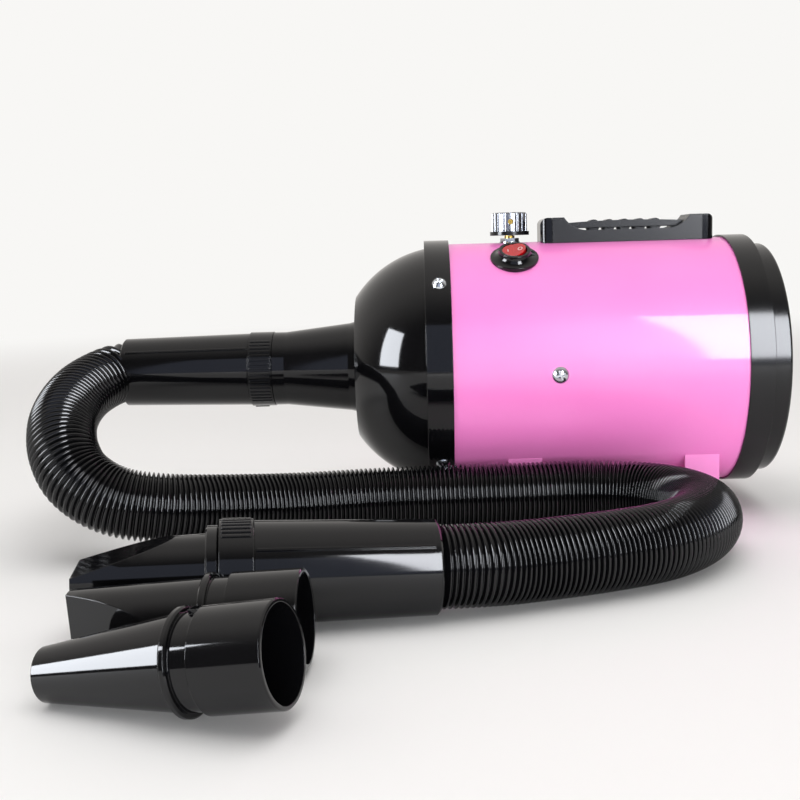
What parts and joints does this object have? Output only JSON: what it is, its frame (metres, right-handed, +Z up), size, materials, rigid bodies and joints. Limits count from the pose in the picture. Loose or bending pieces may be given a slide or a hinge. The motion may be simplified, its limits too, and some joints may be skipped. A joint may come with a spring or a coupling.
{
  "type": "pet dryer",
  "caption": "Pink steel drum pet dryer with black nose, ribbed hose, handset with a duckbill nozzle, a round and a flat nozzle, speed knob, switch and carry handle",
  "frame": {"origin": "on the floor at the centre of the four foot holes, under the drum's axis", "axes": "+Z up, -X along the drum towards the nose and the outlet, -Y the side with the controls' switch and the nozzles"},
  "size_m": [0.5194, 0.5288, 0.2169],
  "materials": {
    "pink_paint": "gloss orchid-pink powder coat",
    "black_abs": "gloss moulded black ABS",
    "soft_black": "satin moulded black plastic",
    "hose_vinyl": "semi-gloss black ribbed vinyl",
    "nozzle_pe": "gloss moulded black plastic",
    "zinc_steel": "zinc-plated steel",
    "pad_rubber": "black rubber",
    "knob_chrome": "chromed knob",
    "turned_brass": "turned brass",
    "red_button": "translucent red plastic",
    "ground_steel": "ground steel",
    "bare_aluminium": "bare aluminium",
    "carbon": "pressed carbon",
    "circuit_board": "green circuit board",
    "open_foam": "open-cell dark grey foam"
  },
  "bodies": {
    "housing": {"shell": "pink_paint", "nose_bell": "black_abs", "outlet_neck": "black_abs", "nose_screws": "zinc_steel", "side_screws": "zinc_steel", "rear_ring": "black_abs", "rear_screws": "zinc_steel", "end_tabs": "zinc_steel", "intake_guard": "zinc_steel", "front_foot": "pink_paint", "rear_foot": "pink_paint", "foot_pads": "pad_rubber", "machine_cuff": "black_abs", "hose": "hose_vinyl", "wand_cuff": "black_abs", "speed_pot": "turned_brass", "pot_nut": "zinc_steel", "pot_washer": "zinc_steel", "switch_body": "black_abs", "handle_base": "soft_black", "handle_caps": "black_abs", "handle_screws": "zinc_steel", "bulkhead": "zinc_steel", "fan_gasket": "pad_rubber", "fan_housing": "zinc_steel", "stage_plate": "zinc_steel", "motor_frame": "bare_aluminium", "stator": "ground_steel", "bearings": "ground_steel", "brush_holders": "turned_brass", "carbon_brushes": "carbon", "clamp_ring": "zinc_steel", "clamp_studs": "zinc_steel", "speed_board": "circuit_board", "board_posts": "zinc_steel", "heat_sink": "bare_aluminium", "mains_gland": "black_abs", "gland_nut": "black_abs", "noise_foam": "open_foam"},
    "cover": {"intake_cover": "black_abs", "filter_foam": "open_foam"},
    "rotor": {"motor_shaft": "ground_steel", "armature": "ground_steel", "commutator": "turned_brass", "impeller_front": "bare_aluminium", "impeller_rear": "bare_aluminium"},
    "knob": {"speed_knob": "knob_chrome", "knob_screw": "turned_brass", "pot_shaft": "ground_steel"},
    "switch_button": {"rocker": "red_button"},
    "grip": {"handle_grip": "soft_black"},
    "outlet_lock": {"machine_collar": "black_abs"},
    "wand_lock": {"wand_collar": "black_abs"},
    "duckbill": {"duckbill_nozzle": "nozzle_pe"},
    "slot_nozzle": {"flat_nozzle": "nozzle_pe"},
    "cone_nozzle": {"round_nozzle": "nozzle_pe"}
  },
  "joints": [
    {"name": "rotor_spin", "type": "hinge", "parent": "housing", "child": "rotor", "pos_m": [0, 0, 0.105], "axis": [1, 0, 0], "continuous": true},
    {"name": "handle_lift", "type": "slide", "parent": "housing", "child": "grip", "axis": [0, 0, 1], "range_m": [0, 0.018]},
    {"name": "speed_turn", "type": "hinge", "parent": "housing", "child": "knob", "pos_m": [-0.066, 0, 0.2], "axis": [0, 0, -1], "range_deg": [0, 300]},
    {"name": "switch_rock", "type": "hinge", "parent": "housing", "child": "switch_button", "pos_m": [-0.066, -0.04557, 0.18721], "axis": [0, 0.8746, 0.4848], "range_deg": [0, 18]},
    {"name": "outlet_lock_turn", "type": "hinge", "parent": "housing", "child": "outlet_lock", "pos_m": [-0.2622, 0, 0.105], "axis": [1, 0, 0], "range_deg": [0, 30]},
    {"name": "wand_lock_turn", "type": "hinge", "parent": "housing", "child": "wand_lock", "pos_m": [-0.22206, -0.28206, 0.02858], "axis": [-0.9871, -0.1563, 0.0342], "range_deg": [0, 30]},
    {"name": "duckbill_pull", "type": "slide", "parent": "housing", "child": "duckbill", "axis": [-0.9871, -0.1563, 0.0342], "range_m": [0, 0.055]},
    {"name": "cover_pull", "type": "slide", "parent": "housing", "child": "cover", "axis": [1, 0, 0], "range_m": [0, 0.03]},
    {"name": "round_nozzle_lift", "type": "slide", "parent": "housing", "child": "cone_nozzle", "axis": [0, 0, 1], "range_m": [0, 0.06]},
    {"name": "flat_nozzle_lift", "type": "slide", "parent": "housing", "child": "slot_nozzle", "axis": [0, 0, 1], "range_m": [0, 0.06]}
  ]
}
